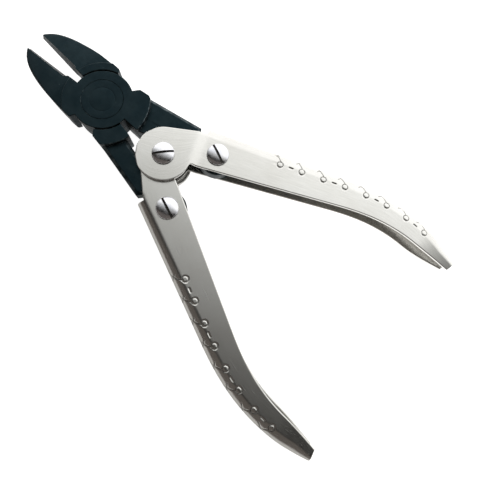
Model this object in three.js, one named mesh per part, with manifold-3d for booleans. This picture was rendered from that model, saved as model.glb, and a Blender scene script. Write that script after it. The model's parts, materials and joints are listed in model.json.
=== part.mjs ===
// Compound-action side nippers for cutting model parts off their sprue.
// Two lap-jointed jaws are worked by two pressed channel handles through a four-pivot linkage.
// Millimetres. +X runs forward to the jaw tips, +Z is up out of the front face, and the origin is
// the centre of the jaw joint on its back face. The tool is drawn as it lies half open.
import * as THREE from 'three';
import { mergeVertices } from 'three/addons/utils/BufferGeometryUtils.js';
import Module from 'manifold-3d';

const wasm = await Module();
wasm.setup();

// ---- Driving dimensions -------------------------------------------------------------------

const CLEAR = 0.3; // running gap between pieces that turn on or lie beside each other
const SEAT_GAP = 0.2; // gap under a head or beside a spacer
const CUT_EDGE_GAP = 0.3; // gap left between the two cutting edges when the jaws are shut

// Linkage, between pivot centres
const JAW_ARM = 42.7; // jaw joint to tail pivot
const HANDLE_ARM = 17.8; // centre pivot to tail pivot
const ARM_LEAN = 42.79; // that arm off the centre line as drawn, degrees
const JAW_OPENING = 4.6; // turn of each jaw from as drawn to shut, degrees
const HANDLE_LEAN = 23.5; // grip off the centre line as drawn, degrees

// Jaws
const BOSS_THICKNESS = 12;
const BOSS_RADIUS = 10.2;
const BLADE_LENGTH = 33.3; // joint centre to tip
const BLADE_WIDTH = 11.6; // joint centre line to the blade's back, at the shoulder
const BLADE_RING = 13.3; // radius where the blade's faces are ground down from the boss
const BLADE_STEP = 0.4; // depth of that step
const BLADE_BULGE = [[0.95, 0.7], [0.66, 0.95]]; // curve handles of its back, shares of length and width
const BLADE_CREST = 5; // joint centre to where that curve starts
const BLADE_CORNER = 3.4; // joint centre to the corner of the blade shoulder
const BLADE_SHOULDER = 77; // direction of the shoulder end of the blade root, degrees
const TIP_THICKNESS = 5;
const EDGE_ROOT = 15.2; // joint centre to the inner end of the cutting edge
const MOUTH_RELIEF = 0.4; // how far the blades stand back from each other behind the edges
const MOUTH_BLEND = 1; // length over which the edge comes forward from that relief
const BEVEL_SLOPE = 0.2; // bevel width for each millimetre of depth
const EDGE_LAND = 0.12; // half the blunt width left on the cutting edge
const HEEL_RADIUS = 15.8; // outer end of the shoulder that carries the tail
const HEEL_CORNERS = [[-2, -118], [2.6, -120.5], [5.1, -131]]; // [past the boss radius, degrees]
const HEEL_ARC_START = -134; // degrees
const TAIL_EYE_RADIUS = 6.3;
const TAIL_CHAMFER = 1.2; // all round both faces, so that the eye clears the channel's bends
const TAIL_ROOT_HALF = 8.2; // tail's outer edge off the pivot line, at the shoulder
const TAIL_NECK_HALF = 6.6; // the same where it steps down to enter the handle
const TAIL_NECK_BACK = 9.3; // from the tail pivot to that step
const TAIL_STEP = [0.8, 1.8]; // run and height of the step
const TAIL_WAIST = 0.9; // tail's inner edge off the pivot line
const TAIL_WAIST_BACK = 14.8; // from the tail pivot to its waist
const ROOT_OVERLAP = 2; // how far blade and tail roots reach into what carries them
const GUSSET_ROOT = 4.2; // front tail's inner edge off the pivot line, where it leaves the shoulder
const GUSSET = [[20.2, 3.9], [22.4, 0.9]]; // its next corners: [from the joint, off that line]
const FRONT_HEEL = 0; // front jaw's shoulder edge off the centre line, degrees
const REAR_HEEL = 10.6; // rear jaw's shoulder edge off the centre line, degrees

// Jaw rivet
const RIVET_RADIUS = 4.1;
const RIVET_HEAD_RADIUS = 6.9;
const RIVET_HEAD_DEPTH = 2;

// Handles
const SHEET = 1.4;
const CHANNEL_DEPTH = 11.6;
const BEND_RADIUS = 3.6; // outside radius of the two long bends
const WEB_MOUTH = 5.5; // tail pivot to the cut end of the web, along the grip
const GRIP_END = 105.3; // centre pivot to the end, along the grip
const WEB_ROOM = 0.62; // room between the web and the tail's eye
const WEB_DROP = 0.0227; // how fast the straight stretch leans in
const BOW_START = 58; // where the grip begins to bow inwards
const BOW_DEPTH = 14.6;
const BOW_POWER = 2.5; // how late the bow comes in
const BEND_SHARE = 0.8; // the most of a flange or half web that a bend may take up
const FLANGE_ROOT = 14.4; // flange width at the web's start
const FLANGE_END = 6.8;
const NOSE_LENGTH = 13; // stretch over which the end is rounded off and drawn in
const NOSE_TRIM = 2.8; // flange width lost over the nose
const NOSE_PINCH = 3.3; // channel half-depth lost over the nose
const EYE_RADIUS = 9.1; // outer ear round the centre pivot
const FLAT_EYE_RADIUS = 7.9; // inner ear round the centre pivot
const NECK_BACK = [2.05, 3]; // corner between the ear and the web's cut end, back from the web's corner
const NECK_RISE = 1.2; // from that corner up to where the cut runs into the bend
const JOGGLE_CLEAR = 0.4; // flat ear to the start of the outer ear's step down
const JOGGLE_RUN = 4.2;

// Pivot screws and their sleeve nuts
const HEAD_RADIUS = 3.7;
const HEAD_RIM = 0.4;
const HEAD_DOME = 1.3;
const SLOT_WIDTH = 0.75;
const SLOT_DEPTH = 0.8;
const SLEEVE_RADIUS = 2;
const SCREW_RADIUS = 1.1;
const SPACER_RADIUS = 3.6;
const CENTRE_SLOT = 50; // slot directions as drawn, degrees
const UPPER_SLOT = -22;
const LOWER_SLOT = -20;
const OPEN_PIVOT_CLEAR = 0.6; // gap round the sleeve in the rear jaw's tail
const SCREW_REACH = 0.6; // screw's length, share of the stack it clamps
const BORE_START = 0.3; // where the sleeve's bore starts, share of its length from the head

// ---- Sizes that follow ----------------------------------------------------------------------

const rad = THREE.MathUtils.degToRad;
const HALF_BOSS = BOSS_THICKNESS / 2;
const HALF_CHANNEL = CHANNEL_DEPTH / 2;
const INNER_HALF = HALF_CHANNEL - SHEET;
const HALF_TAIL = INNER_HALF - CLEAR;
const EAR_TOP = HALF_CHANNEL + CLEAR + SHEET;
const HOLE_RADIUS = SLEEVE_RADIUS + CLEAR;
const TAIL_Y = HANDLE_ARM * Math.sin(rad(ARM_LEAN));
const TAIL_X = Math.sqrt(JAW_ARM ** 2 - TAIL_Y ** 2);
const TAIL_ANGLE = Math.atan2(TAIL_Y, TAIL_X);
const CENTRE_X = -TAIL_X + HANDLE_ARM * Math.cos(rad(ARM_LEAN));
const GRIP_TAIL_X = HANDLE_ARM * Math.cos(rad(ARM_LEAN - HANDLE_LEAN));
const GRIP_TAIL_Y = HANDLE_ARM * Math.sin(rad(ARM_LEAN - HANDLE_LEAN));
const WEB_START = GRIP_TAIL_X - WEB_MOUTH;
const WEB_HEIGHT = GRIP_TAIL_Y + TAIL_EYE_RADIUS + WEB_ROOM + SHEET;
const NECK = [WEB_START - NECK_BACK[0], WEB_HEIGHT - NECK_BACK[1]];
const JOGGLE_START = FLAT_EYE_RADIUS + JOGGLE_CLEAR;
const JOGGLE_END = JOGGLE_START + JOGGLE_RUN;
const PLATE_END = Math.max(JOGGLE_END, WEB_START) + SHEET;
const FAR = 2 * (JAW_ARM + GRIP_END); // longer than anything that is cut
const NEARBY = 0.01; // step for taking a slope
const WELD = 1e-4; // points closer than this are one

// ---- Solid modelling ------------------------------------------------------------------------

// A closed three.js geometry as a solid that can be joined and cut.
function solid(geometry) {
  const bare = geometry.clone();
  bare.deleteAttribute('normal');
  bare.deleteAttribute('uv');
  const merged = mergeVertices(bare, WELD);
  const index = merged.index.array;
  const triangles = [];
  for (let i = 0; i < index.length; i += 3) {
    const [a, b, c] = [index[i], index[i + 1], index[i + 2]];
    if (a !== b && b !== c && c !== a) triangles.push(a, b, c);
  }
  return new wasm.Manifold(new wasm.Mesh({
    numProp: 3,
    vertProperties: new Float32Array(merged.attributes.position.array),
    triVerts: new Uint32Array(triangles),
  }));
}

// A solid back as a geometry with flat-shaded faces.
function geometryOf(body) {
  const mesh = body.getMesh();
  const geometry = new THREE.BufferGeometry();
  geometry.setAttribute('position', new THREE.BufferAttribute(mesh.vertProperties, 3));
  geometry.setIndex(new THREE.BufferAttribute(mesh.triVerts, 1));
  const flat = geometry.toNonIndexed();
  flat.computeVertexNormals();
  return flat;
}

const join = (first, ...rest) => rest.reduce((all, next) => all.add(next), first);
const cut = (first, ...rest) => rest.reduce((all, next) => all.subtract(next), first);
const polar = (radius, degrees) => [radius * Math.cos(rad(degrees)), radius * Math.sin(rad(degrees))];

function outline(points) {
  return new THREE.Shape(points.map(([x, y]) => new THREE.Vector2(x, y)));
}

// A flat plate of the given outline between two heights, chamfered all round if asked.
function plate(shape, low, high, chamfer = 0) {
  const geometry = new THREE.ExtrudeGeometry(shape, {
    depth: high - low - 2 * chamfer, curveSegments: 12, bevelEnabled: chamfer > 0,
    bevelThickness: chamfer, bevelSize: chamfer, bevelOffset: -chamfer, bevelSegments: 1,
  });
  return solid(geometry.translate(0, 0, low + chamfer));
}

// A bar whose outline is given in X and Z, long enough to pass right through along Y.
function crossBar(points) {
  const geometry = new THREE.ExtrudeGeometry(outline(points), { depth: FAR, bevelEnabled: false });
  return solid(geometry.rotateX(Math.PI / 2).translate(0, FAR / 2, 0));
}

// An upright round bar.
function rod(radius, low, high, x = 0, y = 0, sides = 32) {
  const geometry = new THREE.CylinderGeometry(radius, radius, high - low, sides);
  return solid(geometry.rotateX(Math.PI / 2).translate(x, y, (low + high) / 2));
}

// An upright turned piece, from (radius, height) points that run from the axis back to the axis.
function turned(points, sides = 28) {
  const profile = points.map(([radius, height]) => new THREE.Vector2(radius, height));
  return solid(new THREE.LatheGeometry(profile, sides).rotateX(Math.PI / 2));
}

// ---- Jaws, drawn with the blade on +Y and the tail on -Y ------------------------------------------

// Points on the cutting edge's line: this far from the joint centre, this far back from the edge.
function edgePoint(distance, back) {
  const turn = rad(JAW_OPENING);
  const side = CUT_EDGE_GAP / 2 + back;
  return [
    distance * Math.cos(turn) - side * Math.sin(turn),
    distance * Math.sin(turn) + side * Math.cos(turn),
  ];
}

function bladeOutline() {
  const tip = edgePoint(BLADE_LENGTH, 0);
  const shape = new THREE.Shape();
  shape.moveTo(...edgePoint(BOSS_RADIUS - ROOT_OVERLAP, MOUTH_RELIEF));
  shape.lineTo(...edgePoint(EDGE_ROOT - MOUTH_BLEND, MOUTH_RELIEF));
  shape.lineTo(...edgePoint(EDGE_ROOT, 0));
  shape.lineTo(...tip);
  const handles = BLADE_BULGE.flatMap(([x, y]) => [BLADE_LENGTH * x, BLADE_WIDTH * y]);
  shape.bezierCurveTo(...handles, BLADE_CREST, BLADE_WIDTH);
  shape.lineTo(BLADE_CORNER, BLADE_WIDTH);
  shape.lineTo(...polar(BOSS_RADIUS - ROOT_OVERLAP, BLADE_SHOULDER));
  return shape;
}

// The blade is ground down in a step outside the boss, then thins towards its tip.
function blade() {
  const whole = plate(bladeOutline(), -HALF_BOSS, HALF_BOSS);
  const root = HALF_BOSS - BLADE_STEP;
  const tip = TIP_THICKNESS / 2;
  const ground = crossBar([
    [0, -root], [BLADE_RING, -root], [BLADE_LENGTH + 1, -tip],
    [BLADE_LENGTH + 1, tip], [BLADE_RING, root], [0, root],
  ]);
  const shoulder = rod(BLADE_RING, -HALF_BOSS, HALF_BOSS, 0, 0, 48);
  return whole.intersect(join(ground, shoulder));
}

// What is ground away on one face to leave the bevel along the cutting edge.
function bevelCutter(side) {
  const start = CUT_EDGE_GAP / 2;
  const reach = HALF_BOSS + 1;
  const section = outline([
    [start, side * EDGE_LAND],
    [start + BEVEL_SLOPE * (reach - EDGE_LAND), side * reach],
    [start - reach, side * reach],
    [start - reach, side * EDGE_LAND],
  ]);
  const bar = new THREE.ExtrudeGeometry(section, { depth: FAR, bevelEnabled: false });
  // The section's X and Y become Y and Z, and the bar runs forward from the edge's root.
  const axes = new THREE.Matrix4().makeBasis(
    new THREE.Vector3(0, 1, 0), new THREE.Vector3(0, 0, 1), new THREE.Vector3(1, 0, 0),
  );
  bar.applyMatrix4(axes).translate(EDGE_ROOT, 0, 0).rotateZ(rad(JAW_OPENING));
  return solid(bar);
}

function heelOutline(heelDegrees) {
  const shape = outline(HEEL_CORNERS.map(([past, turn]) => polar(BOSS_RADIUS + past, turn)));
  shape.absarc(0, 0, HEEL_RADIUS, rad(HEEL_ARC_START), rad(heelDegrees - 180), true);
  shape.lineTo(...polar(BOSS_RADIUS - ROOT_OVERLAP, heelDegrees - 180));
  return shape;
}

// The tail lies along the line from the joint to its pivot, drawn here along +X with +Y outwards.
function tail() {
  const neckX = JAW_ARM - TAIL_NECK_BACK;
  const stepX = neckX + TAIL_STEP[0];
  const stepY = TAIL_NECK_HALF - TAIL_STEP[1];
  const waistX = JAW_ARM - TAIL_WAIST_BACK;
  const outer = Math.atan2(stepY, stepX - JAW_ARM)
    - Math.acos(TAIL_EYE_RADIUS / Math.hypot(stepY, stepX - JAW_ARM));
  const inner = Math.atan2(-TAIL_WAIST, waistX - JAW_ARM) + 2 * Math.PI
    + Math.acos(TAIL_EYE_RADIUS / Math.hypot(TAIL_WAIST, waistX - JAW_ARM));
  const shape = outline([
    [waistX, -TAIL_WAIST], [HEEL_RADIUS - ROOT_OVERLAP, 0],
    [HEEL_RADIUS - 1.5 * ROOT_OVERLAP, TAIL_ROOT_HALF],
    [neckX, TAIL_NECK_HALF], [stepX, stepY],
  ]);
  shape.absarc(JAW_ARM, 0, TAIL_EYE_RADIUS, outer, inner - 2 * Math.PI, true);
  const flat = plate(shape, -HALF_TAIL, HALF_TAIL, TAIL_CHAMFER);
  const turn = new THREE.Matrix4().makeRotationZ(TAIL_ANGLE + Math.PI);
  return { flat, turn };
}

// The front jaw's tail is filled out on its inner side, between the shoulder and the spacer.
function gusset() {
  const root = HEEL_RADIUS - ROOT_OVERLAP;
  const inner = GUSSET.map(([x, inward]) => [x, -inward]);
  const inside = [[JAW_ARM - TAIL_WAIST_BACK, TAIL_CHAMFER], [root, 2 * TAIL_CHAMFER]];
  return plate(outline([[root, -GUSSET_ROOT], ...inner, ...inside]), -HALF_TAIL, HALF_TAIL);
}

function jaw(heelDegrees, pivotClear, ...extra) {
  const { flat, turn } = tail();
  const heel = plate(heelOutline(heelDegrees), -HALF_BOSS, HALF_BOSS);
  const pocket = rod(BOSS_RADIUS + CLEAR, -FAR, CLEAR / 2, 0, 0, 48);
  const halfLap = rod(BOSS_RADIUS, CLEAR / 2, HALF_BOSS, 0, 0, 48);
  const body = join(
    cut(join(blade(), heel), pocket), halfLap, join(flat, ...extra).transform(turn.elements),
  );
  const shank = rod(RIVET_RADIUS + CLEAR, -FAR, FAR);
  const sink = turned([
    [0, HALF_BOSS - RIVET_HEAD_DEPTH], [RIVET_RADIUS + CLEAR, HALF_BOSS - RIVET_HEAD_DEPTH],
    [RIVET_HEAD_RADIUS + CLEAR, HALF_BOSS], [RIVET_HEAD_RADIUS + CLEAR, HALF_BOSS + 1],
    [0, HALF_BOSS + 1],
  ]);
  const pivot = rod(SLEEVE_RADIUS + pivotClear, -FAR, FAR, -TAIL_X, -TAIL_Y);
  return cut(body, bevelCutter(1), bevelCutter(-1), shank, sink, pivot);
}

function jawRivet() {
  return turned([
    [0, -HALF_BOSS], [RIVET_HEAD_RADIUS, -HALF_BOSS], [RIVET_RADIUS, -HALF_BOSS + RIVET_HEAD_DEPTH],
    [RIVET_RADIUS, HALF_BOSS - RIVET_HEAD_DEPTH], [RIVET_HEAD_RADIUS, HALF_BOSS], [0, HALF_BOSS],
  ]);
}

// ---- Handles: origin at the centre pivot, +X along the grip, +Y out to the web ----------------------

function backLine(x) {
  const bowed = Math.max(0, (x - BOW_START) / (GRIP_END - BOW_START));
  return WEB_HEIGHT - WEB_DROP * (x - WEB_START) - BOW_DEPTH * bowed ** BOW_POWER;
}

const along = (x) => (x - WEB_START) / (GRIP_END - WEB_START);
const nose = (x) => Math.max(0, (x - GRIP_END + NOSE_LENGTH) / NOSE_LENGTH);

function flangeWidth(x) {
  return FLANGE_ROOT - (FLANGE_ROOT - FLANGE_END) * along(x) - NOSE_TRIM * nose(x) ** 2;
}

// One cross-section of the channel: its outside from one flange's edge to the other's, and the
// inside to match, as (distance in from the web, height) points.
function channelSection(width, halfDepth) {
  const bend = Math.min(BEND_RADIUS, BEND_SHARE * width, BEND_SHARE * halfDepth);
  const steps = 5;
  const quarter = (radius) => Array.from({ length: steps + 1 }, (_, i) => {
    const turn = (i / steps) * (Math.PI / 2);
    return [bend - radius * Math.sin(turn), halfDepth - bend + radius * Math.cos(turn)];
  });
  const side = (radius) => {
    const top = [[width, halfDepth - bend + radius], ...quarter(radius)];
    return [...top, ...top.map(([inward, height]) => [inward, -height]).reverse()];
  };
  return { outside: side(bend), inside: side(bend - SHEET) };
}

function channel() {
  const stations = 20;
  const positions = [];
  const rows = [];
  for (let i = 0; i <= stations; i++) {
    const x = WEB_START + ((GRIP_END - WEB_START) * i) / stations;
    const slope = Math.atan((backLine(x + NEARBY) - backLine(x - NEARBY)) / (2 * NEARBY));
    const section = channelSection(flangeWidth(x), HALF_CHANNEL - NOSE_PINCH * nose(x) ** 2);
    const row = (points) => points.map(([inward, height]) => {
      positions.push(
        x + inward * Math.sin(slope), backLine(x) - inward * Math.cos(slope), height,
      );
      return positions.length / 3 - 1;
    });
    rows.push({ outside: row(section.outside), inside: row(section.inside) });
  }
  const index = [];
  const quad = (a, b, c, d) => index.push(a, b, c, a, c, d);
  const last = rows[0].outside.length - 1;
  for (let i = 0; i < stations; i++) {
    const [here, next] = [rows[i], rows[i + 1]];
    for (let j = 0; j < last; j++) {
      quad(here.outside[j], next.outside[j], next.outside[j + 1], here.outside[j + 1]);
      quad(here.inside[j], here.inside[j + 1], next.inside[j + 1], next.inside[j]);
    }
    quad(here.inside[0], next.inside[0], next.outside[0], here.outside[0]);
    quad(here.outside[last], next.outside[last], next.inside[last], here.inside[last]);
  }
  for (let j = 0; j < last; j++) {
    const [first, end] = [rows[0], rows[stations]];
    quad(first.outside[j], first.outside[j + 1], first.inside[j + 1], first.inside[j]);
    quad(end.outside[j], end.inside[j], end.inside[j + 1], end.outside[j + 1]);
  }
  const geometry = new THREE.BufferGeometry();
  geometry.setAttribute('position', new THREE.Float32BufferAttribute(positions, 3));
  geometry.setIndex(index);
  return solid(geometry);
}

// The flange's outline round the centre pivot, from the cut end of the web forwards.
function earOutline(radius) {
  const innerEdge = backLine(PLATE_END) - flangeWidth(PLATE_END);
  const shape = outline([
    [PLATE_END, innerEdge], [PLATE_END, NECK[1] + NECK_RISE],
    [WEB_START + SHEET / 2, NECK[1] + NECK_RISE], NECK,
  ]);
  const top = Math.atan2(NECK[1], NECK[0]) + Math.acos(radius / Math.hypot(...NECK));
  shape.absarc(0, 0, radius, top, 2 * Math.PI + Math.asin(innerEdge / radius - 2 * NEARBY), false);
  return shape;
}

function raisedEar() {
  const [low, high] = [EAR_TOP - SHEET, EAR_TOP];
  const joggled = crossBar([
    [-FAR / 4, low], [JOGGLE_START, low], [JOGGLE_END, INNER_HALF], [PLATE_END, INNER_HALF],
    [PLATE_END, HALF_CHANNEL], [JOGGLE_END, HALF_CHANNEL], [JOGGLE_START, high], [-FAR / 4, high],
  ]);
  return plate(earOutline(EYE_RADIUS), 0, EAR_TOP + 1).intersect(joggled);
}

function handle() {
  const flatEar = plate(earOutline(FLAT_EYE_RADIUS), -HALF_CHANNEL, -INNER_HALF);
  return cut(
    join(channel(), raisedEar(), flatEar),
    rod(HOLE_RADIUS, -FAR, FAR),
    rod(HOLE_RADIUS, -FAR, FAR, GRIP_TAIL_X, GRIP_TAIL_Y),
  );
}

// ---- Pivots ------------------------------------------------------------------------------------

// Outline of a domed head that sits on height 0, from its rim up to the axis.
function domePoints() {
  const steps = 4;
  return Array.from({ length: steps + 1 }, (_, i) => {
    const turn = (i / steps) * (Math.PI / 2);
    const radius = i < steps ? HEAD_RADIUS * Math.cos(turn) : 0;
    return [radius, HEAD_RIM + HEAD_DOME * Math.sin(turn)];
  });
}

function slotCutter() {
  const top = HEAD_RIM + HEAD_DOME;
  const box = new THREE.BoxGeometry(3 * HEAD_RADIUS, SLOT_WIDTH, 2 * SLOT_DEPTH);
  return solid(box.translate(0, 0, top));
}

// Both are drawn with the underside of the head at height 0 and the shank or sleeve below it.
function pivotScrew(stack) {
  const length = stack * SCREW_REACH;
  return cut(turned([
    [0, -length], [SCREW_RADIUS, -length], [SCREW_RADIUS, 0], [HEAD_RADIUS, 0], ...domePoints(),
  ]), slotCutter());
}

function sleeveNut(stack) {
  const length = stack - SEAT_GAP;
  const sleeve = turned([
    [0, -length], [SLEEVE_RADIUS, -length], [SLEEVE_RADIUS, 0], [HEAD_RADIUS, 0], ...domePoints(),
  ]);
  return cut(sleeve, slotCutter(), rod(SCREW_RADIUS + CLEAR, -length - 1, -length * BORE_START));
}

function centreSpacer() {
  const half = INNER_HALF - SEAT_GAP;
  return cut(rod(SPACER_RADIUS, -half, half), rod(HOLE_RADIUS, -FAR, FAR));
}

// ---- Assembly ------------------------------------------------------------------------------------

const blackSteel = { color: 0x1d2a2e, roughness: 0.55, metalness: 0.7 };
const satinNickel = { color: 0xc9c8c2, roughness: 0.32, metalness: 0.9 };
const polishedNickel = { color: 0xd2d3d8, roughness: 0.15, metalness: 1 };

function piece(name, body, finish) {
  const mesh = new THREE.Mesh(geometryOf(body), new THREE.MeshStandardMaterial(finish));
  mesh.name = name;
  return mesh;
}

const nippers = new THREE.Group();
const tool = new THREE.Group(); // everything is drawn about the tool's middle plane
tool.position.z = HALF_BOSS;
nippers.add(tool);

// Whatever is turned over end for end lies in here: the lower handle and the rear jaw.
const turnedOver = new THREE.Group();
turnedOver.rotation.x = Math.PI;
tool.add(turnedOver);

function addJaws() {
  tool.add(piece('front_jaw', jaw(FRONT_HEEL, CLEAR, gusset()), blackSteel));
  turnedOver.add(piece('rear_jaw', jaw(REAR_HEEL, OPEN_PIVOT_CLEAR), blackSteel));
  tool.add(piece('jaw_rivet', jawRivet(), blackSteel));
}

function addHandle(name, parent) {
  const mesh = piece(name, handle(), satinNickel);
  mesh.position.x = CENTRE_X;
  mesh.rotation.z = Math.PI + rad(HANDLE_LEAN);
  parent.add(mesh);
}

// A screw on the front face and the sleeve nut that meets it from behind.
function addPivot(name, x, y, face, slot) {
  const stack = 2 * (face + SEAT_GAP);
  const screw = piece(`${name}_screw`, pivotScrew(stack), polishedNickel);
  screw.position.set(x, y, face + SEAT_GAP);
  screw.rotation.z = rad(slot);
  tool.add(screw);
  const nut = piece(`${name}_nut`, sleeveNut(stack), polishedNickel);
  nut.position.set(x, y, -face - SEAT_GAP);
  nut.rotation.set(Math.PI, 0, rad(slot));
  tool.add(nut);
}

addJaws();
addHandle('upper_handle', tool);
addHandle('lower_handle', turnedOver);
addPivot('centre', CENTRE_X, 0, EAR_TOP, CENTRE_SLOT);
addPivot('upper_tail', -TAIL_X, -TAIL_Y, HALF_CHANNEL, UPPER_SLOT);
addPivot('lower_tail', -TAIL_X, TAIL_Y, HALF_CHANNEL, LOWER_SLOT);
const spacer = piece('centre_spacer', centreSpacer(), satinNickel);
spacer.position.x = CENTRE_X;
tool.add(spacer);

export default nippers;
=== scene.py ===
import json
import math

import bmesh
import bpy
from mathutils import Matrix, Vector


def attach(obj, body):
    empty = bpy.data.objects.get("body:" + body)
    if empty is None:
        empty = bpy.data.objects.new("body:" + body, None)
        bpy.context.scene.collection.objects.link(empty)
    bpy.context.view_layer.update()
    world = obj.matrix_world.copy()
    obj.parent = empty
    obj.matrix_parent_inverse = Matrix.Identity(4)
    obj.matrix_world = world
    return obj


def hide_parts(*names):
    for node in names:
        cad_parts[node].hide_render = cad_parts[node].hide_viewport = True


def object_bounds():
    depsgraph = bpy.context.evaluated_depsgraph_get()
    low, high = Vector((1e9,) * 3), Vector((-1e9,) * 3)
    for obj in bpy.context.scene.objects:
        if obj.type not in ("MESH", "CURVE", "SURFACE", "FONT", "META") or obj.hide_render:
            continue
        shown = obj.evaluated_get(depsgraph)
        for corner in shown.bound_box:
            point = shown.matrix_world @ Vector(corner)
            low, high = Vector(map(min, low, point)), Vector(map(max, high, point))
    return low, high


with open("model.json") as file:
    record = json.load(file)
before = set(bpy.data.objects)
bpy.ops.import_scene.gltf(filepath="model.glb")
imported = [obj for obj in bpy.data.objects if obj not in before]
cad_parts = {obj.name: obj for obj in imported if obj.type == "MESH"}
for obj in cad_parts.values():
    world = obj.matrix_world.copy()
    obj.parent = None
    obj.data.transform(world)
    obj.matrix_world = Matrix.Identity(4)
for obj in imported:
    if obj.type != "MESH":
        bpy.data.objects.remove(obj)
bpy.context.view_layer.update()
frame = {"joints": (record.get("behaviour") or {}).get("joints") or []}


# Table, light and camera. The nippers lie flat on a white table. The room is bright beyond the
# upper handle and falls away to dark beyond the lower one, so the plated handles run from white
# to nearly black at the lower handle's end.

MM = 0.001
pivots = {joint["name"]: Vector(joint["pos_m"]) / MM for joint in frame["joints"]}
centre_pivot = pivots["handle_squeeze"]
upper_tail_pivot = pivots["upper_tail_pivot"]
lower_tail_pivot = upper_tail_pivot * Vector((1, -1, 1))
middle_height = pivots["jaw_joint"].z


def link(item):
    bpy.context.scene.collection.objects.link(item)
    return item


def new_finish(name):
    """A finish whose node tree holds only its surface shader and output."""
    finish = bpy.data.materials.new(name)
    finish.use_nodes = True
    return finish, finish.node_tree, finish.node_tree.nodes["Principled BSDF"]


def lay_table():
    gap_below_tool = 0.05 * MM
    half_width = 900 * MM
    squares = 24
    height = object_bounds()[0].z - gap_below_tool
    table = bmesh.new()
    bmesh.ops.create_grid(table, x_segments=squares, y_segments=squares, size=half_width)
    for vertex in table.verts:
        vertex.co.z = height
    mesh = bpy.data.meshes.new("table")
    table.to_mesh(mesh)
    paper, tree, shader = new_finish("white_paper")
    shader.inputs["Base Color"].default_value = (0.62, 0.6, 0.58, 1)
    shader.inputs["Roughness"].default_value = 0.9
    shader.inputs["Emission Color"].default_value = (1, 1, 1, 1)
    # The table looks evenly white, but what the plating reflects of it is bright only beyond the
    # upper handle.
    dim, bright, seen = 0.2, 1.1, 0.95
    reach = 25 * MM
    place = tree.nodes.new("ShaderNodeTexCoord")
    across = tree.nodes.new("ShaderNodeSeparateXYZ")
    lit_side = tree.nodes.new("ShaderNodeMapRange")
    lit_side.inputs["From Min"].default_value = reach
    lit_side.inputs["From Max"].default_value = -reach
    lit_side.inputs["To Min"].default_value = dim
    lit_side.inputs["To Max"].default_value = bright
    ray = tree.nodes.new("ShaderNodeLightPath")
    glow = tree.nodes.new("ShaderNodeMix")
    glow.inputs["B"].default_value = seen
    tree.links.new(place.outputs["Object"], across.inputs[0])
    tree.links.new(across.outputs["Y"], lit_side.inputs["Value"])
    tree.links.new(ray.outputs["Is Camera Ray"], glow.inputs["Factor"])
    tree.links.new(lit_side.outputs["Result"], glow.inputs["A"])
    tree.links.new(glow.outputs["Result"], shader.inputs["Emission Strength"])
    mesh.materials.append(paper)
    link(bpy.data.objects.new("table", mesh))


def light_room():
    # Shades of the room from beyond the lower handle to beyond the upper one; the backdrop
    # itself is white.
    room = bpy.data.worlds.new("room")
    room.use_nodes = True
    tree = room.node_tree
    direction = tree.nodes.new("ShaderNodeTexCoord")
    towards_light = tree.nodes.new("ShaderNodeVectorMath")
    towards_light.operation = "DOT_PRODUCT"
    towards_light.inputs[1].default_value = (0.3, -1, 0)
    spread = tree.nodes.new("ShaderNodeMapRange")
    spread.inputs["From Min"].default_value = -0.5
    spread.inputs["From Max"].default_value = 0.5
    fall = tree.nodes.new("ShaderNodeValToRGB")
    shades = [
        (0, (0.13, 0.115, 0.105)), (0.08, (0.05, 0.045, 0.04)), (0.15, (0.01, 0.01, 0.009)),
        (0.3, (0.01, 0.01, 0.009)), (0.335, (0.09, 0.088, 0.083)),
        (0.41, (0.23, 0.225, 0.22)), (0.6, (0.55, 0.56, 0.55)), (0.69, (0.72, 0.735, 0.73)),
        (0.735, (1.28, 1.29, 1.27)), (1, (1.5, 1.5, 1.5)),
    ]
    for place, shade in shades[1:-1]:
        fall.color_ramp.elements.new(place)
    for element, (place, shade) in zip(fall.color_ramp.elements, shades):
        element.position = place
        element.color = (*shade, 1)
    backdrop = tree.nodes.new("ShaderNodeMix")
    backdrop.data_type = "RGBA"
    ray = tree.nodes.new("ShaderNodeLightPath")
    background = tree.nodes["Background"]
    tree.links.new(direction.outputs["Generated"], towards_light.inputs[0])
    tree.links.new(towards_light.outputs["Value"], spread.inputs["Value"])
    tree.links.new(spread.outputs["Result"], fall.inputs["Fac"])
    tree.links.new(ray.outputs["Is Camera Ray"], backdrop.inputs["Factor"])
    tree.links.new(fall.outputs["Color"], backdrop.inputs[6])
    backdrop.inputs[7].default_value = (1, 1, 1, 1)
    tree.links.new(backdrop.outputs[2], background.inputs["Color"])
    bpy.context.scene.world = room
    bpy.context.scene.view_settings.view_transform = "Standard"


def place_camera():
    # The lens stands over the grips and is slid in its mount so that the tool fills the frame.
    frame_pixels = 477
    lens_pixels = 429.8
    sensor = 36
    roll, pitch, yaw = 0.7445, -0.1987, 0.0934
    slide = (1.2, 55.1)
    lens = bpy.data.cameras.new("camera")
    lens.sensor_width = sensor
    lens.lens = sensor * lens_pixels / frame_pixels
    lens.shift_x = -slide[0] / frame_pixels
    lens.shift_y = -slide[1] / frame_pixels
    lens.clip_start = 0.01
    camera = link(bpy.data.objects.new("camera", lens))
    flat = Matrix((
        (-math.cos(roll), -math.sin(roll), 0),
        (math.sin(roll), -math.cos(roll), 0),
        (0, 0, 1),
    ))
    turned = Matrix.Rotation(yaw, 3, "Y") @ Matrix.Rotation(pitch, 3, "X") @ flat
    camera.matrix_world = turned.transposed().to_4x4()
    camera.location = (-0.06192, 0.01965, 0.15013)
    bpy.context.scene.camera = camera


lay_table()
light_room()
place_camera()


# Front jaw: one of the two drop-forged tool-steel halves, ground flat on its boss, ground to an
# edge along its blade and blackened all over. The front half of its boss laps over the rear
# jaw's, and its thinner tail runs back into the upper handle.

upright = Matrix.Translation((0, 0, middle_height * MM)) @ Matrix.Scale(MM, 4)
turned_over = upright @ Matrix.Rotation(math.pi, 4, "X")

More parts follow.
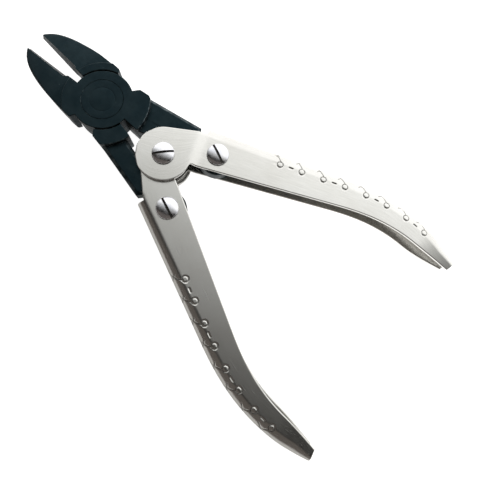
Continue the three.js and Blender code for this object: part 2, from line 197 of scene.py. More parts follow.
JAW_HALF_HEIGHT = 6
BOSS_RADIUS = 10.2
LAP_GAP = 0.3
BLADE_TURN = 4.6  # degrees between the centre line and the cutting edge
EDGE_GAP = 0.15  # the edge's stand-off from the line where the two edges meet
BLADE_LENGTH = 33.3
BLADE_WIDTH = 11.6
BLADE_RING = 13.3
BLADE_HALF_ROOT = 5.6
BLADE_HALF_TIP = 2.5
BLADE_BULGE = ((0.95, 0.7), (0.66, 0.95))  # handles of its back's curve, shares of both sizes
BLADE_CREST = 5  # where that curve meets the straight back
BLADE_CORNER = 3.4
BLADE_FOOT = 75.6  # degrees round to where the blade's shoulder meets the boss
BLADE_TAPER_END = 34.3
BLADE_CROWN = 0.06
EDGE_ROOT = 15.2
MOUTH_RELIEF = 0.4
EDGE_LAND = 0.12
HEEL_RADIUS = 15.8
HEEL_FOOT = -118.9  # degrees round to where the tail's shoulder meets the boss
HEEL_CORNERS = ((15.4, 229, 1.2), (12.9, 239.3, 1.0))  # (radius, degrees, rounding)
JAW_ARM = math.hypot(upper_tail_pivot.x, upper_tail_pivot.y)
TAIL_ANGLE = math.degrees(math.atan2(-upper_tail_pivot.y, -upper_tail_pivot.x))
TAIL_EYE = 6.3
TAIL_STEP = (8.5, 4.8)  # each (back from the eye, outwards)
TAIL_NECK = (9.3, 6.6)
TAIL_WAIST = (14.8, -0.9)
TAIL_ROOT = 8.2
FAR = 60
HEAD_RADIUS_OF_RIVET = 6.9
RIVET_RADIUS = 4.1


def polar(radius, degrees):
    turn = math.radians(degrees)
    return Vector((radius * math.cos(turn), radius * math.sin(turn)))


def arc(radius, start, end, centre=(0, 0), spacing=0.7):
    steps = max(2, math.ceil(abs(math.radians(end - start)) * radius / spacing))
    return [
        Vector(centre) + polar(radius, start + (end - start) * i / steps) for i in range(steps + 1)
    ]


def soften(corners):
    """A closed outline from (corner, radius) pairs, each corner rounded to its radius."""
    outline = []
    befores = corners[-1:] + corners[:-1]
    afters = corners[1:] + corners[:1]
    for (before, _), (corner, radius), (after, _) in zip(befores, corners, afters):
        if not radius:
            outline.append(corner)
            continue
        back = (before - corner).normalized()
        ahead = (after - corner).normalized()
        half = back.angle(ahead) / 2
        centre = corner + (back + ahead).normalized() * radius / math.sin(half)
        start = corner + back * radius / math.tan(half) - centre
        end = corner + ahead * radius / math.tan(half) - centre
        outline += [centre + start.slerp(end, i / 4) * radius for i in range(5)]
    return outline


def inset(outline, distance):
    """The outline, drawn anticlockwise, moved inwards by that distance."""
    moved = []
    for before, point, after in zip(outline[-1:] + outline[:-1], outline, outline[1:] + outline[:1]):
        first = (point - before).normalized().orthogonal()
        second = (after - point).normalized().orthogonal()
        moved.append(point + (first + second) * distance / (1 + first.dot(second)))
    return moved


def skin(loops, hollow=False):
    """A closed shell through loops of points, capped at both ends or, if hollow, joined up."""
    shell = bmesh.new()
    rings = [[shell.verts.new(point) for point in loop] for loop in loops]
    for low, high in zip(rings, rings[1:] + rings[:1] if hollow else rings[1:]):
        for i in range(len(low)):
            shell.faces.new((low[i - 1], low[i], high[i], high[i - 1]))
    if not hollow:
        shell.faces.new(list(reversed(rings[0])))
        shell.faces.new(rings[-1])
    return shell


def plate(outline, edges):
    """A flat piece of that outline; edges are (inset, height) pairs from its back to its front."""
    return skin([[point.to_3d() + Vector((0, 0, height)) for point in inset(outline, depth)]
                 for depth, height in edges])


def broken_edges(low, high, radius):
    """Edges for plate() that are rounded over by that radius, back and front."""
    steps = [i * math.pi / 6 for i in range(4)]
    back = [(radius * (1 - math.sin(a)), low + radius * (1 - math.cos(a))) for a in steps]
    return back + [(depth, low + high - height) for depth, height in reversed(back)]


def turned_bar(profile, sides=72, centre=(0, 0), hollow=False):
    """A lathe-turned piece from (radius, height) pairs."""
    directions = [polar(1, 360 * i / sides) for i in range(sides)]
    return skin([[(centre[0] + radius * d.x, centre[1] + radius * d.y, height) for d in directions]
                 for radius, height in profile], hollow)


def mesh_of(shell, placement=Matrix.Identity(4)):
    bmesh.ops.transform(shell, matrix=placement, verts=shell.verts)
    mesh = bpy.data.meshes.new("shell")
    shell.to_mesh(mesh)
    shell.free()
    return mesh


def settle(item):
    """Works the object's modifiers into its mesh."""
    shaped = item.evaluated_get(bpy.context.evaluated_depsgraph_get())
    mesh = bpy.data.meshes.new_from_object(shaped)
    item.modifiers.clear()
    item.data = mesh


def make_piece(name, shell, placement, joined=(), cut_away=(), sharp=40):
    """An object from a shell in millimetres, with other shells joined on and cut away."""
    piece = link(bpy.data.objects.new(name, mesh_of(shell)))
    others = []
    for work, shells in (("UNION", joined), ("DIFFERENCE", cut_away)):
        for other in shells:
            others.append(link(bpy.data.objects.new("other", mesh_of(other))))
            step = piece.modifiers.new(work, "BOOLEAN")
            step.operation = work
            step.solver = "MANIFOLD"
            step.object = others[-1]
    settle(piece)
    for other in others:
        bpy.data.objects.remove(other)
    piece.data.transform(placement)
    piece.data.shade_smooth()
    piece.data.set_sharp_from_angle(angle=math.radians(sharp))
    even = piece.modifiers.new("even_shading", "WEIGHTED_NORMAL")
    even.keep_sharp = True
    even.weight = 90
    settle(piece)
    return piece


def fit(piece, body, node, finish):
    piece.data.name = piece.name
    piece.data.materials.clear()
    piece.data.materials.append(finish)
    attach(piece, body)
    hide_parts(node)


def jaw_boss(heel_edge):
    """The outline of everything at full height: boss, blade root and tail shoulder."""
    mouth = math.degrees(math.asin((EDGE_GAP + MOUTH_RELIEF) / BOSS_RADIUS)) + BLADE_TURN
    mouth_out = math.degrees(math.asin((EDGE_GAP + MOUTH_RELIEF) / BLADE_RING)) + BLADE_TURN
    back = math.degrees(math.asin(BLADE_WIDTH / BLADE_RING))
    sharp = 0
    corners = [(point, sharp) for point in arc(BOSS_RADIUS, HEEL_FOOT, mouth)]
    corners += [(point, sharp) for point in arc(BLADE_RING, mouth_out, back)]
    corners += [(Vector((BLADE_CORNER, BLADE_WIDTH)), 0.9)]
    corners += [(point, sharp) for point in arc(BOSS_RADIUS, BLADE_FOOT, 180 + heel_edge)]
    corners += [(polar(HEEL_RADIUS, 180 + heel_edge), 0.6)]
    corners += [(point, sharp) for point in arc(HEEL_RADIUS, 184 + heel_edge, 225)]
    corners += [(polar(radius, degrees), rounding) for radius, degrees, rounding in HEEL_CORNERS]
    return soften(corners)


def blade_back():
    """(distance along the edge, distance back from it) all along the blade's back."""
    along = polar(1, BLADE_TURN)
    across = along.orthogonal()
    curve = [along * BLADE_LENGTH + across * EDGE_GAP]
    curve += [Vector((x * BLADE_LENGTH, y * BLADE_WIDTH)) for x, y in BLADE_BULGE]
    curve.append(Vector((BLADE_CREST, BLADE_WIDTH)))
    points = []
    steps = 60
    for i in range(steps + 1):
        t = i / steps
        weights = ((1 - t) ** 3, 3 * t * (1 - t) ** 2, 3 * t * t * (1 - t), t ** 3)
        point = sum((p * w for p, w in zip(curve, weights)), Vector((0, 0)))
        points.append((point.dot(along), point.dot(across)))
    return list(reversed(points))


def between(value, low, high):
    """0 below low, 1 above high, and an even slope between."""
    return min(1, max(0, (value - low) / (high - low)))


def smooth(value, low, high):
    share = between(value, low, high)
    return share * share * (3 - 2 * share)


def width_at(back, distance):
    for (d0, w0), (d1, w1) in zip(back, back[1:]):
        if distance <= d1:
            return w0 + (w1 - w0) * between(distance, d0, d1)
    return back[-1][1]


def blade_section(distance, width, bevel_slope):
    """Half of a cross-section, from the cutting edge to the back, as (back, height) pairs."""
    bevelled = smooth(distance, EDGE_ROOT - 1, EDGE_ROOT + 0.3)
    inner = 0.12 * (1 - between(distance, 13, 13.6))
    edge = EDGE_GAP + inner + MOUTH_RELIEF * (1 - bevelled)
    thinned = between(distance, BLADE_RING, BLADE_TAPER_END)
    half = BLADE_HALF_ROOT + (BLADE_HALF_TIP - BLADE_HALF_ROOT) * thinned
    half = min(half, EDGE_LAND + (width - 0.08 - edge) / bevel_slope)
    face = edge + bevel_slope * bevelled * (half - EDGE_LAND)
    section = [
        (edge + (face - edge) * i / 4, EDGE_LAND + (half - EDGE_LAND) * i / 4) for i in range(5)
    ]
    crown = BLADE_CROWN * half
    radius = min(0.35 + 0.5 * smooth(distance, 14, 22), 0.5 * (width - face), 0.6 * half)
    flat = width - radius - face
    section += [(face + flat * i / 8, half - crown * (i / 8) ** 2) for i in range(1, 9)]
    top = section[-1][1]
    for i in range(1, 7):
        turn = i * math.pi / 12
        fall = radius * (1 - math.cos(turn))
        section.append((width - radius + radius * math.sin(turn), top - fall))
    section.append((width, 0))
    return section


def jaw_blade(bevel_slope):
    back = blade_back()
    along = polar(1, BLADE_TURN)
    across = along.orthogonal()
    tip = next(d for d, w in back if w < 0.34)
    stretches = ((4.5, 13, 8), (13, 16, 12), (16, tip, 36))
    stations = [low + (high - low) * i / n for low, high, n in stretches for i in range(n)]
    stations.append(tip)
    loops = []
    for distance in stations:
        width = width_at(back, distance) - 0.04 * (1 - between(distance, 6, 13))
        half = blade_section(distance, width, bevel_slope)
        loop = [(b, -z) for b, z in half] + [(b, z) for b, z in reversed(half[:-1])]
        loops.append([(along * distance + across * b).to_3d() + Vector((0, 0, z)) for b, z in loop])
    return skin(loops)


def jaw_tail():
    """Drawn along +X from the joint to the tail pivot, +Y outwards, then swung into place."""
    step, neck, waist = (
        Vector((JAW_ARM - back, out)) for back, out in (TAIL_STEP, TAIL_NECK, TAIL_WAIST)
    )
    eye = Vector((JAW_ARM, 0))
    to_step, to_waist = step - eye, waist - eye
    outer = math.degrees(math.atan2(to_step.y, to_step.x) - math.acos(TAIL_EYE / to_step.length))
    inner = math.degrees(math.atan2(to_waist.y, to_waist.x) + math.acos(TAIL_EYE / to_waist.length))
    outline = arc(TAIL_EYE, inner, outer, eye)
    outline += [step, neck, Vector((HEEL_RADIUS - 3, TAIL_ROOT))]
    outline += [Vector((HEEL_RADIUS - 1.5, 0)), waist]
    front = [(0, 2.86), (0.1, 3.08), (1.08, 4.06), (1.3, 4.1)]
    edges = [(depth, -height) for depth, height in reversed(front)] + front
    tail = plate(outline, edges)
    swing = Matrix.Rotation(math.radians(180 + TAIL_ANGLE), 4, "Z")
    bmesh.ops.transform(tail, matrix=swing, verts=tail.verts)
    return tail


def tail_gusset():
    """Fills the inner side of the front jaw's tail between its shoulder and the spacer."""
    root = HEEL_RADIUS - 2
    corners = ((root, -4.2), (20.2, -3.9), (22.4, -0.9), (27, 1.6), (root, 2.4))
    outline = [Vector(corner) for corner in corners]
    fill = plate(outline, [(0.35, -4.06), (0.04, -3.7), (0.04, 3.7), (0.35, 4.06)])
    swing = Matrix.Rotation(math.radians(180 + TAIL_ANGLE), 4, "Z")
    bmesh.ops.transform(fill, matrix=swing, verts=fill.verts)
    return fill


def forge_jaw(name, heel_edge, hole_radius, bevel_slope, placement, extra=()):
    boss = plate(jaw_boss(heel_edge), broken_edges(-JAW_HALF_HEIGHT, JAW_HALF_HEIGHT, 0.3))
    lap_radius = BOSS_RADIUS + LAP_GAP
    lap = turned_bar([
        (lap_radius + 1.2, -JAW_HALF_HEIGHT - 1), (lap_radius, -JAW_HALF_HEIGHT + 0.2),
        (lap_radius, 0.15),
    ], sides=120)
    hole = turned_bar([(RIVET_RADIUS + 0.3, -FAR), (RIVET_RADIUS + 0.3, 4),
                       (HEAD_RADIUS_OF_RIVET + 0.09, 5.9), (HEAD_RADIUS_OF_RIVET + 0.2, 6.1)])
    pivot = turned_bar([(hole_radius, -FAR), (hole_radius, FAR)], sides=40,
                       centre=(upper_tail_pivot.x, upper_tail_pivot.y))
    added = (jaw_blade(bevel_slope), jaw_tail(), *extra)
    return make_piece(name, boss, placement, added, (lap, hole, pivot))


class Finish:
    """A finish with its node tree, and short ways to add what varies over its surface."""

    def __init__(self, name, colour, metallic, roughness):
        self.material, self.tree, self.shader = new_finish(name)
        self.shader.inputs["Base Color"].default_value = (*colour, 1)
        self.shader.inputs["Metallic"].default_value = metallic
        self.shader.inputs["Roughness"].default_value = roughness
        self.place = self.node("TexCoord").outputs["Object"]
        self.facing = self.node("TexCoord").outputs["Normal"]

    def node(self, kind, **settings):
        made = self.tree.nodes.new("ShaderNode" + kind)
        for name, value in settings.items():
            setattr(made, name, value)
        return made

    def join(self, source, socket):
        if isinstance(source, bpy.types.NodeSocket):
            self.tree.links.new(source, socket)
        else:
            socket.default_value = source

    def mark(self, name, part="Fac"):
        return self.node("Attribute", attribute_name=name).outputs[part]

    def sums(self, operation, *terms):
        made = self.node("Math", operation=operation)
        for term, socket in zip(terms, made.inputs):
            self.join(term, socket)
        return made.outputs[0]

    def vector(self, operation, first, second):
        made = self.node("VectorMath", operation=operation)
        self.join(first, made.inputs[0])
        self.join(second, made.inputs[1])
        return made.outputs["Value" if operation in ("LENGTH", "DOT_PRODUCT") else "Vector"]

    def noise(self, per_mm, detail=3, place=None, stretch=(1, 1, 1)):
        """Noise with that many features to the millimetre, from 0 to 1."""
        scale = per_mm / (MM if place is None else 1)
        made = self.node("TexNoise")
        made.inputs["Scale"].default_value = scale
        made.inputs["Detail"].default_value = detail
        at = self.vector("MULTIPLY", self.place if place is None else place, stretch)
        self.join(at, made.inputs["Vector"])
        return made.outputs["Fac"]

    def spread(self, value, low, high, to_low=0, to_high=1):
        made = self.node("MapRange")
        self.join(value, made.inputs["Value"])
        for socket, number in zip(list(made.inputs)[1:5], (low, high, to_low, to_high)):
            socket.default_value = number
        return made.outputs["Result"]

    def blend(self, share, first, second):
        made = self.node("Mix", data_type="RGBA")
        self.join(share, made.inputs["Factor"])
        for source, socket in ((first, made.inputs[6]), (second, made.inputs[7])):
            self.join(source if isinstance(source, bpy.types.NodeSocket) else (*source, 1), socket)
        return made.outputs[2]

    def relief(self, height, depth_mm, under=None):
        made = self.node("Bump")
        made.inputs["Distance"].default_value = depth_mm * MM
        self.join(height, made.inputs["Height"])
        if under:
            self.join(under, made.inputs["Normal"])
        return made.outputs["Normal"]

    def coat(self, **inputs):
        names = {"colour": "Base Color", "roughness": "Roughness", "relief": "Normal"}
        for name, source in inputs.items():
            self.join(source, self.shader.inputs[names[name]])
        return self.material


def black_steel_finish():
    steel = Finish("black_steel", (0.014, 0.025, 0.03), 1, 0.42)
    facing_up = steel.sums("ABSOLUTE", steel.vector("DOT_PRODUCT", steel.facing, (0, 0, 1)))
    on_edge = steel.sums("MULTIPLY", steel.spread(facing_up, 0.25, 0.5),
                         steel.spread(facing_up, 0.97, 0.8))
    rubbed = steel.spread(steel.noise(0.5, 5), 0.42, 0.68)
    edge_wear = steel.sums("MULTIPLY", on_edge, rubbed)
    from_joint = steel.vector("LENGTH", steel.vector("MULTIPLY", steel.place, (1, 1, 0)), (0, 0, 0))
    shoulder = steel.sums("ABSOLUTE", steel.sums("SUBTRACT", from_joint, 15.75 * MM))
    behind = steel.vector("DOT_PRODUCT", steel.place, (-1, 0, 0))
    shoulder_wear = steel.sums("MULTIPLY", steel.spread(shoulder, 0.35 * MM, 0.1 * MM),
                               steel.spread(steel.noise(0.9, 6), 0.45, 0.62))
    shoulder_wear = steel.sums("MULTIPLY", shoulder_wear, steel.spread(behind, 8 * MM, 9 * MM))
    specks = steel.spread(steel.noise(1.6, 2), 0.735, 0.78)
    wear = steel.sums("MAXIMUM", steel.sums("MAXIMUM", edge_wear, shoulder_wear),
                      steel.sums("MULTIPLY", specks, 0.6))
    blotches = steel.spread(steel.noise(0.22, 4), 0.3, 0.7)
    oxide = steel.blend(blotches, (0.0105, 0.02, 0.0245), (0.0165, 0.0275, 0.032))
    colour = steel.blend(steel.sums("MULTIPLY", wear, 0.55), oxide, (0.16, 0.19, 0.2))
    turned = steel.sums("SINE", steel.sums("MULTIPLY", from_joint, 2 * math.pi / (0.42 * MM)))
    grain = steel.relief(steel.noise(3.5, 4), 0.02)
    relief = steel.relief(steel.sums("MULTIPLY", turned, 0.5), 0.0035, grain)
    roughness = steel.spread(steel.noise(0.8, 4), 0.25, 0.75, 0.36, 0.54)
    return steel.coat(colour=colour, roughness=roughness, relief=relief)


black_steel = black_steel_finish()
front_jaw = forge_jaw("front_jaw_forging", 0, 2.3, 0.3, upright, (tail_gusset(),))
fit(front_jaw, "front_jaw", "front_jaw", black_steel)


# Rear jaw: the same forging turned over, so that its boss laps behind the front jaw's. Its tail
# shoulder starts further round, and its tail runs back into the lower handle.

rear_jaw = forge_jaw("rear_jaw_forging", 10.6, 2.6, 0.2, turned_over)
fit(rear_jaw, "rear_jaw", "rear_jaw", black_steel)


# Jaw rivet: a blackened steel rivet, headed over into both countersinks and ground flush, so
# that only two faint turned rings show on each side of the joint.

def rivet_bar():
    face = JAW_HALF_HEIGHT
    front = [
        (RIVET_RADIUS, 4), (6.86, face - 0.14), (6.84, face - 0.04), (6.7, face - 0.01),
        (4.45, face - 0.01), (4.3, face - 0.09), (4.1, face - 0.09), (3.95, face - 0.01), (0.3, face),
    ]
    return turned_bar([(radius, -height) for radius, height in reversed(front)] + front, sides=96)


jaw_rivet = make_piece("jaw_rivet_flush", rivet_bar(), upright)
fit(jaw_rivet, "front_jaw", "jaw_rivet", black_steel)


# Handles: two of the same pressing, 1.4 mm steel sheet blanked, stamped with a row of rings and
# dashes on its faces and a diamond pattern round its back, folded to a channel and plated in
# satin nickel. One ear is stepped out so that it laps over the other handle's flat ear.

SHEET = 1.4
CHANNEL_HALF = 5.8
BEND_RADIUS = 3.6
WEB_START = 11.3
GRIP_END = 105.3
WEB_HEIGHT = 14.2
WEB_DROP = 0.0227
BOW_START = 58
BOW_DEPTH = 14.6
BOW_POWER = 2.5
FLANGE_ROOT = 14.4
FLANGE_END = 6.8
NOSE_LENGTH = 13
NOSE_TRIM = 2.8
NOSE_PINCH = 3.3
EAR_RADIUS = 9.1
FLAT_EAR_RADIUS = 7.9
EAR_RISE = 1.7
EAR_STEP = (8.3, 12.5)  # where the stepped ear comes down to the flange
NECK = Vector((9.25, 11.2))
HANDLE_LEAN = math.radians(23.5)
HOLE_RADIUS = 2.3
RING_ROWS = {1: (37.7, 7.72), -1: (39.75, 7.34)}  # first ring and pitch, raised and flat side
RING_COUNT = 8
RING_RADIUS = 0.98
RING_INSET = (4.0, 2.8)
DASH_HALF = 0.75
TICK_REACH = 1.6  # how far on to the face the lines between the rings come
STAMP_HALF_WIDTH = 0.24
STAMP_DEPTH = 0.24
ear_rows = 18  # rows of the flange that run on past the web's cut end into the ear


def back_line(x):
    bowed = max(0, (x - BOW_START) / (GRIP_END - BOW_START))
    return WEB_HEIGHT - WEB_DROP * (x - WEB_START) - BOW_DEPTH * bowed ** BOW_POWER


def back_slope(x):
    nearby = 0.01
    return math.atan((back_line(x + nearby) - back_line(x - nearby)) / (2 * nearby))


def nose(x):
    """How far the end is drawn in, from 0 to 1."""
    return max(0, (x - GRIP_END + NOSE_LENGTH) / NOSE_LENGTH) ** 2


def flange_width(x):
    share = (x - WEB_START) / (GRIP_END - WEB_START)
    return FLANGE_ROOT - (FLANGE_ROOT - FLANGE_END) * share - NOSE_TRIM * nose(x)


def from_back(x, inward):
    """The point that far in from the back line, square to it."""
    slope = back_slope(x)
    return Vector((x + inward * math.sin(slope), back_line(x) - inward * math.cos(slope)))


def half_section(x):
    """(inward, height) from the flange's edge round the bend to the middle of the web."""
    width = flange_width(x)
    half = CHANNEL_HALF - NOSE_PINCH * nose(x)
    bend = min(BEND_RADIUS, 0.62 * width, 0.75 * half)
    plain = min(5.8, bend + 0.5 * (width - bend))
    rows = [(width, half), (width - 0.42, half)]
    rows += [(width - 0.42 + (plain - width + 0.42) * i / 3, half) for i in (1, 2)]
    rows += [(plain + (bend - plain) * i / 9, half) for i in range(9)]
    for i in range(21):
        turn = i * math.pi / 40
        rows.append((bend * (1 - math.sin(turn)), half - bend * (1 - math.cos(turn))))
    return rows + [(0, (half - bend) * (1 - i / 9)) for i in range(1, 10)]


def ring_inset(share):
    return RING_INSET[0] + (RING_INSET[1] - RING_INSET[0]) * share


def ring_row(first, pitch):
    """Each ring's place along the grip and its centre, set in a little less towards the end."""
    places = []
    x = first
    creep = 0.01
    for i in range(RING_COUNT):
        inward = ring_inset(i / (RING_COUNT - 1))
        centre = from_back(x, inward)
        while places and (centre - places[-1][1]).length < pitch:
            x += creep
            centre = from_back(x, inward)
        places.append((x, centre))
    return places


rings = {side: ring_row(*row) for side, row in RING_ROWS.items()}


def strike(gap):
    """How deep a struck line is at that distance from its middle."""
    return STAMP_DEPTH * math.cos(min(1, gap / STAMP_HALF_WIDTH) * math.pi / 2) ** 2


def to_stroke(point, start, end):
    share = between((point - start).dot(end - start) / (end - start).length_squared, 0, 1)
    return (point - start - (end - start) * share).length


def dash_between(first, second):
    half = (second - first).normalized() * DASH_HALF
    return (first + second) / 2 - half, (first + second) / 2 + half


dashes = {side: [dash_between(a[1], b[1]) for a, b in zip(row[::2], row[1::2])]
          for side, row in rings.items()}


def face_stamp(point, side):
    deepest = max(strike(abs((point - centre).length - RING_RADIUS)) for _, centre in rings[side])
    return max([deepest] + [strike(to_stroke(point, *dash)) for dash in dashes[side]])


def round_back(inward, height):
    """Distance round the outside of the channel from the middle of its web."""
    if inward < 0.001:
        return height
    turn = math.acos(1 - min(inward, BEND_RADIUS) / BEND_RADIUS)
    around = CHANNEL_HALF - BEND_RADIUS + BEND_RADIUS * turn + max(0, inward - BEND_RADIUS)
    return math.copysign(around, height)


def web_stamp(x, inward, height):
    """The diamond lines that run round the back from one row of rings to the other."""
    first, last = rings[-1][0][0], rings[-1][-1][0]
    reach = ring_inset(between(x, first, last)) - RING_RADIUS
    if inward > reach or not first - 5 < x < last + 2.5:
        return 0
    limit = round_back(reach, 1)
    share = 0.5 - 0.5 * round_back(inward, height) / limit
    start, pitch = (a + (b - a) * share for a, b in zip(RING_ROWS[1], RING_ROWS[-1]))
    place = (x - start) / pitch
    lines = []
    if height < 0 or inward < TICK_REACH:
        lines.append(place - 1.5 * share - 0.5)
    if height > 0 or inward < TICK_REACH:
        lines.append(place + 1.5 * share)
    nearest = min(abs((line + 0.5) % 1 - 0.5) for line in lines) * pitch
    return strike(nearest * 0.75)


def along_polyline(points, count, first_gap):
    """count + 1 points spaced along a line of points, the first gap a set one."""
    lengths = [(b - a).length for a, b in zip(points, points[1:])]
    total = sum(lengths)
    wanted = [0] + [first_gap + (total - first_gap) * i / (count - 1) for i in range(count)]
    found = []
    for distance in wanted:
        i = 0
        while i < len(lengths) - 1 and distance > lengths[i]:
            distance -= lengths[i]
            i += 1
        found.append(points[i].lerp(points[i + 1], min(1, distance / lengths[i])))
    return found


def step_up(x):
    return EAR_RISE * (1 - smooth(x, *EAR_STEP))


def ear_grid(radius, columns, fronts):
    """Plan points of an ear, column by column from its far end to the web's cut end."""
    inner = from_back(WEB_START, fronts[0][0])
    top = from_back(WEB_START, fronts[-1][0])
    touch = math.degrees(math.atan2(NECK.y, NECK.x) + math.acos(radius / NECK.length))
    upper = along_polyline(arc(radius, 135, touch) + [NECK, top], columns, 0.5)
    crook = [point for point in arc(0.7, 178, 92, (radius + 0.72, inner.y - 0.7), 0.3)]
    lower = along_polyline(arc(radius, 225, 353) + crook + [inner], columns, 0.5)
    depth = fronts[0][0] - fronts[-1][0]
    shares = [(fronts[0][0] - inward) / depth for inward, _ in fronts]
    left = [polar(radius, 225 - 90 * share) for share in shares]
    right = [from_back(WEB_START, inward) for inward, _ in fronts]
    grid = []
    for i in range(columns):
        u = i / columns
        column = []
        for j, v in enumerate(shares):
            ruled = lower[i].lerp(upper[i], v) + left[j].lerp(right[j], u)
            corner = left[0].lerp(left[-1], v).lerp(right[0].lerp(right[-1], v), u)
            column.append(ruled - corner)
        grid.append(column)
    return grid


def press_handle():
    stations = [WEB_START, 11.75, 12.4, 13.2, 14.2, 15.5] + [17 + 2.2 * i for i in range(9)]
    stations += [36.4 + 0.21 * i for i in range(int((97.4 - 36.4) / 0.21))]
    stations += [98 + 0.93 * i for i in range(8)] + [GRIP_END - 0.35, GRIP_END]
    sheet = bmesh.new()
    grain = sheet.verts.layers.float_vector.new("grain")
    struck = sheet.verts.layers.float.new("struck")
    weight = sheet.edges.layers.float.new("bevel_weight_edge")
    depths = {}

    def add(point, height, run, across):
        vertex = sheet.verts.new((point.x, point.y, height))
        vertex[grain] = (run, across, height)
        return vertex

    columns = []
    for x in stations:
        half = half_section(x)
        section = half + [(inward, -height) for inward, height in reversed(half[:-1])]
        column = []
        for j, (inward, height) in enumerate(section):
            point = from_back(x, inward)
            bent = max(0, BEND_RADIUS - inward) / BEND_RADIUS
            rise = step_up(x) * (1 - smooth(bent, 0, 0.8)) if height > 0 else 0
            across = inward if abs(height) > 1 else 0
            vertex = add(point, height + rise, x, across)
            column.append(vertex)
            depth = web_stamp(x, inward, height)
            if abs(height) > 2:
                depth = max(depth, face_stamp(point, 1 if height > 0 else -1))
            depths[vertex] = depth
        columns.append(column)
    for low, high in zip(columns, columns[1:]):
        for j in range(len(low) - 1):
            sheet.faces.new((low[j], high[j], high[j + 1], low[j + 1]))

    half = half_section(WEB_START)
    fronts = half[:ear_rows]
    count = 26
    for side, radius in ((1, EAR_RADIUS), (-1, FLAT_EAR_RADIUS)):
        previous = None
        for i, plan in enumerate(ear_grid(radius, count, fronts)):
            column = []
            for point, (inward, height) in zip(plan, fronts):
                near = smooth(point.x, 8.5, WEB_START)
                bent = max(0, BEND_RADIUS - inward) / BEND_RADIUS
                kept = 1 - near * smooth(bent, 0, 0.8)
                rise = step_up(point.x) * kept if side > 0 else 0
                drop = (CHANNEL_HALF - height) * near
                column.append(add(point, side * (CHANNEL_HALF - drop + rise), point.x, inward))
            if previous:
                join_columns(sheet, previous, column, side)
            previous = column
        first = columns[0][:ear_rows] if side > 0 else list(reversed(columns[0][-ear_rows:]))
        join_columns(sheet, previous, first, side)

    sheet.normal_update()
    outside = list(sheet.verts)
    outer_faces = list(sheet.faces)
    rim = [edge for edge in sheet.edges if len(edge.link_faces) == 1]
    inside = {}
    for vertex in outside:
        inside[vertex] = sheet.verts.new(vertex.co - vertex.normal * SHEET)
        inside[vertex][grain] = vertex[grain] + Vector((0, 0, 40))
    for face in outer_faces:
        sheet.faces.new([inside[vertex] for vertex in reversed(face.verts)])
    for edge in rim:
        loop = edge.link_loops[0]
        first, second = loop.vert, loop.link_loop_next.vert
        wall = sheet.faces.new((second, first, inside[first], inside[second]))
        for side in wall.edges:
            if side is edge or set(side.verts) == {inside[first], inside[second]}:
                side[weight] = 1
    for vertex in outside:
        vertex[struck] = depths.get(vertex, 0) / STAMP_DEPTH
        vertex.co -= vertex.normal * depths.get(vertex, 0)
    return sheet


def join_columns(sheet, low, high, side):
    for j in range(len(low) - 1):
        corners = (low[j], high[j], high[j + 1], low[j + 1])
        sheet.faces.new(corners if side > 0 else tuple(reversed(corners)))


def make_handle(name, placement):
    handle = link(bpy.data.objects.new(name, mesh_of(press_handle())))
    rounded = handle.modifiers.new("rolled_edges", "BEVEL")
    rounded.limit_method = "WEIGHT"
    rounded.width = 0.24
    rounded.segments = 3
    rounded.use_clamp_overlap = False
    swing = Matrix.Rotation(math.pi + HANDLE_LEAN, 4, "Z")
    swing = Matrix.Translation((centre_pivot.x, 0, 0)) @ swing
    holes = []
    for place in (centre_pivot, upper_tail_pivot):
        bar = turned_bar([(HOLE_RADIUS, -FAR), (HOLE_RADIUS, FAR)], sides=48,
                         centre=(place.x, place.y))
        holes.append(link(bpy.data.objects.new("hole", mesh_of(bar, swing.inverted()))))
        drill = handle.modifiers.new("hole", "BOOLEAN")
        drill.operation = "DIFFERENCE"
        drill.solver = "MANIFOLD"
        drill.object = holes[-1]
    settle(handle)
    for hole in holes:
        bpy.data.objects.remove(hole)
    handle.data.transform(placement @ swing)
    handle.data.shade_smooth()
    handle.data.set_sharp_from_angle(angle=math.radians(50))
    return handle


def satin_nickel_finish():
    nickel = Finish("satin_nickel", (0.70, 0.69, 0.65), 1, 0.32)
    sheet = nickel.mark("grain", "Vector")
    brushed = nickel.noise(1, 3, sheet, (0.12, 5, 5))
    smudged = nickel.noise(0.09, 4, sheet)
    plated = nickel.blend(nickel.spread(smudged, 0.35, 0.7), (0.72, 0.715, 0.69), (0.66, 0.65, 0.62))
    plated = nickel.blend(nickel.spread(brushed, 0.3, 0.8, 0, 0.5), plated, (0.6, 0.59, 0.56))
    # The stamped rings, dashes and diamond lines are darkened nearly to black in the colour: painted
    # shade in the grooves. They are also made a little rougher there.
    groove_shade = nickel.spread(nickel.mark("struck"), 0.15, 0.75)
    colour = nickel.blend(nickel.sums("MULTIPLY", groove_shade, 0.8), plated, (0.06, 0.055, 0.045))
    roughness = nickel.sums("ADD", nickel.spread(brushed, 0.2, 0.8, 0.19, 0.29),
                            nickel.sums("MULTIPLY", groove_shade, 0.25))
    return nickel.coat(colour=colour, roughness=roughness, relief=nickel.relief(brushed, 0.006))


satin_nickel = satin_nickel_finish()
upper_handle = make_handle("upper_handle_pressing", upright)
fit(upper_handle, "upper_handle", "upper_handle", satin_nickel)
lower_handle = make_handle("lower_handle_pressing", turned_over)
fit(lower_handle, "lower_handle", "lower_handle", satin_nickel)


# Centre spacer: a short nickelled tube on the centre sleeve, between the two handles' inner
# ears, that keeps the channels from closing up when the screw is tightened.

def spacer_tube():
    half = CHANNEL_HALF - SHEET - 0.2
    outer, bore, rim = 3.6, HOLE_RADIUS, 0.25
    return turned_bar([
        (bore, -half + rim), (bore + rim, -half), (outer - rim, -half), (outer, -half + rim),
        (outer, half - rim), (outer - rim, half), (bore + rim, half), (bore, half - rim),
    ], sides=48, centre=(centre_pivot.x, 0), hollow=True)


centre_spacer = make_piece("centre_spacer_tube", spacer_tube(), upright)
fit(centre_spacer, "upper_handle", "centre_spacer", satin_nickel)
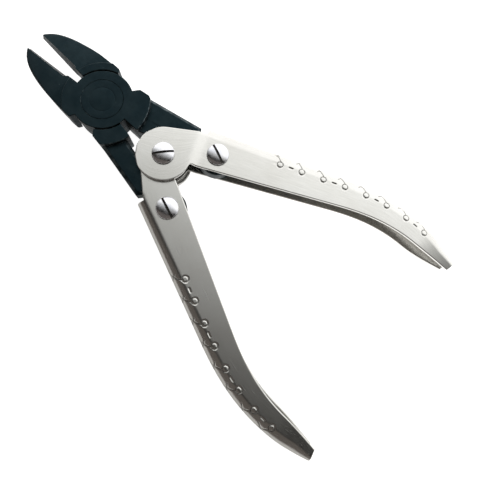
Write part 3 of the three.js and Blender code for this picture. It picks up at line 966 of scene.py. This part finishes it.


# Pivot screws and sleeve nuts: turned steel, bright nickel plated, with painted shade in their slots.
# Each screw comes in from the front and meets a sleeve nut from behind; both have the same low
# dome and straight slot.

PIVOT_HEAD = 3.7
HEAD_RIM = 0.4
HEAD_DOME = 1.3
SLOT_HALF = 0.375
SEAT_GAP = 0.2


def domed_bar(shank, length, tip):
    profile = [(shank - tip, -length), (shank, -length + tip), (shank, 0), (PIVOT_HEAD - 0.15, 0),
               (PIVOT_HEAD, 0.12)]
    steps = 14
    for i in range(steps + 1):
        turn = i * math.pi / 2 / steps
        height = HEAD_RIM + HEAD_DOME * math.sin(turn)
        profile.append((max(0.05, PIVOT_HEAD * math.cos(turn)), height))
    return turned_bar(profile, sides=96)


def slot_bar():
    top = HEAD_RIM + HEAD_DOME
    corners = [Vector((x * 6, y * SLOT_HALF)) for x, y in ((-1, -1), (1, -1), (1, 1), (-1, 1))]
    bar = plate(corners, [(0.08, top - 0.9), (0, top - 0.8), (0, top - 0.1), (-0.1, top + 0.1)])
    slotted = bar.faces.layers.float.new("slotted")
    for face in bar.faces:
        face[slotted] = 1
    return bar


def polished_nickel_finish():
    nickel = Finish("polished_nickel", (0.78, 0.78, 0.80), 1, 0.14)
    tarnish = nickel.spread(nickel.noise(0.35, 4), 0.35, 0.7)
    colour = nickel.blend(tarnish, (0.8, 0.79, 0.8), (0.66, 0.67, 0.72))
    # The slot's faces are coloured near black: painted shade in the slot.
    colour = nickel.blend(nickel.mark("slotted"), colour, (0.03, 0.028, 0.026))
    roughness = nickel.spread(nickel.noise(1.2, 4), 0.3, 0.75, 0.16, 0.32)
    return nickel.coat(colour=colour, roughness=roughness,
                       relief=nickel.relief(nickel.noise(2.5, 3), 0.008))


def fit_pivot(name, body, place, seat, slot_degrees):
    at = Matrix.Translation((place.x, place.y, 0))
    turn = Matrix.Rotation(math.radians(slot_degrees), 4, "Z")
    seat += SEAT_GAP
    front = upright @ at @ Matrix.Translation((0, 0, seat)) @ turn
    screw = make_piece(f"{name}_screw_turned", domed_bar(1.1, 1.2 * seat, 0.15), front,
                       cut_away=(slot_bar(),))
    fit(screw, body, f"{name}_screw", polished_nickel)
    flipped = Matrix.Rotation(math.pi, 4, "X")
    behind = upright @ at @ Matrix.Translation((0, 0, -seat)) @ flipped @ turn
    length = 2 * seat - SEAT_GAP
    bore = turned_bar([(1.4, -length - 1), (1.4, -0.3 * length)], sides=32)
    nut = make_piece(f"{name}_nut_turned", domed_bar(2, length, 0.1), behind,
                     cut_away=(slot_bar(), bore))
    fit(nut, body, f"{name}_nut", polished_nickel)


polished_nickel = polished_nickel_finish()
fit_pivot("centre", "upper_handle", centre_pivot, CHANNEL_HALF + EAR_RISE, 50)
fit_pivot("upper_tail", "upper_handle", upper_tail_pivot, CHANNEL_HALF, -22)
fit_pivot("lower_tail", "lower_handle", lower_tail_pivot, CHANNEL_HALF, -20)
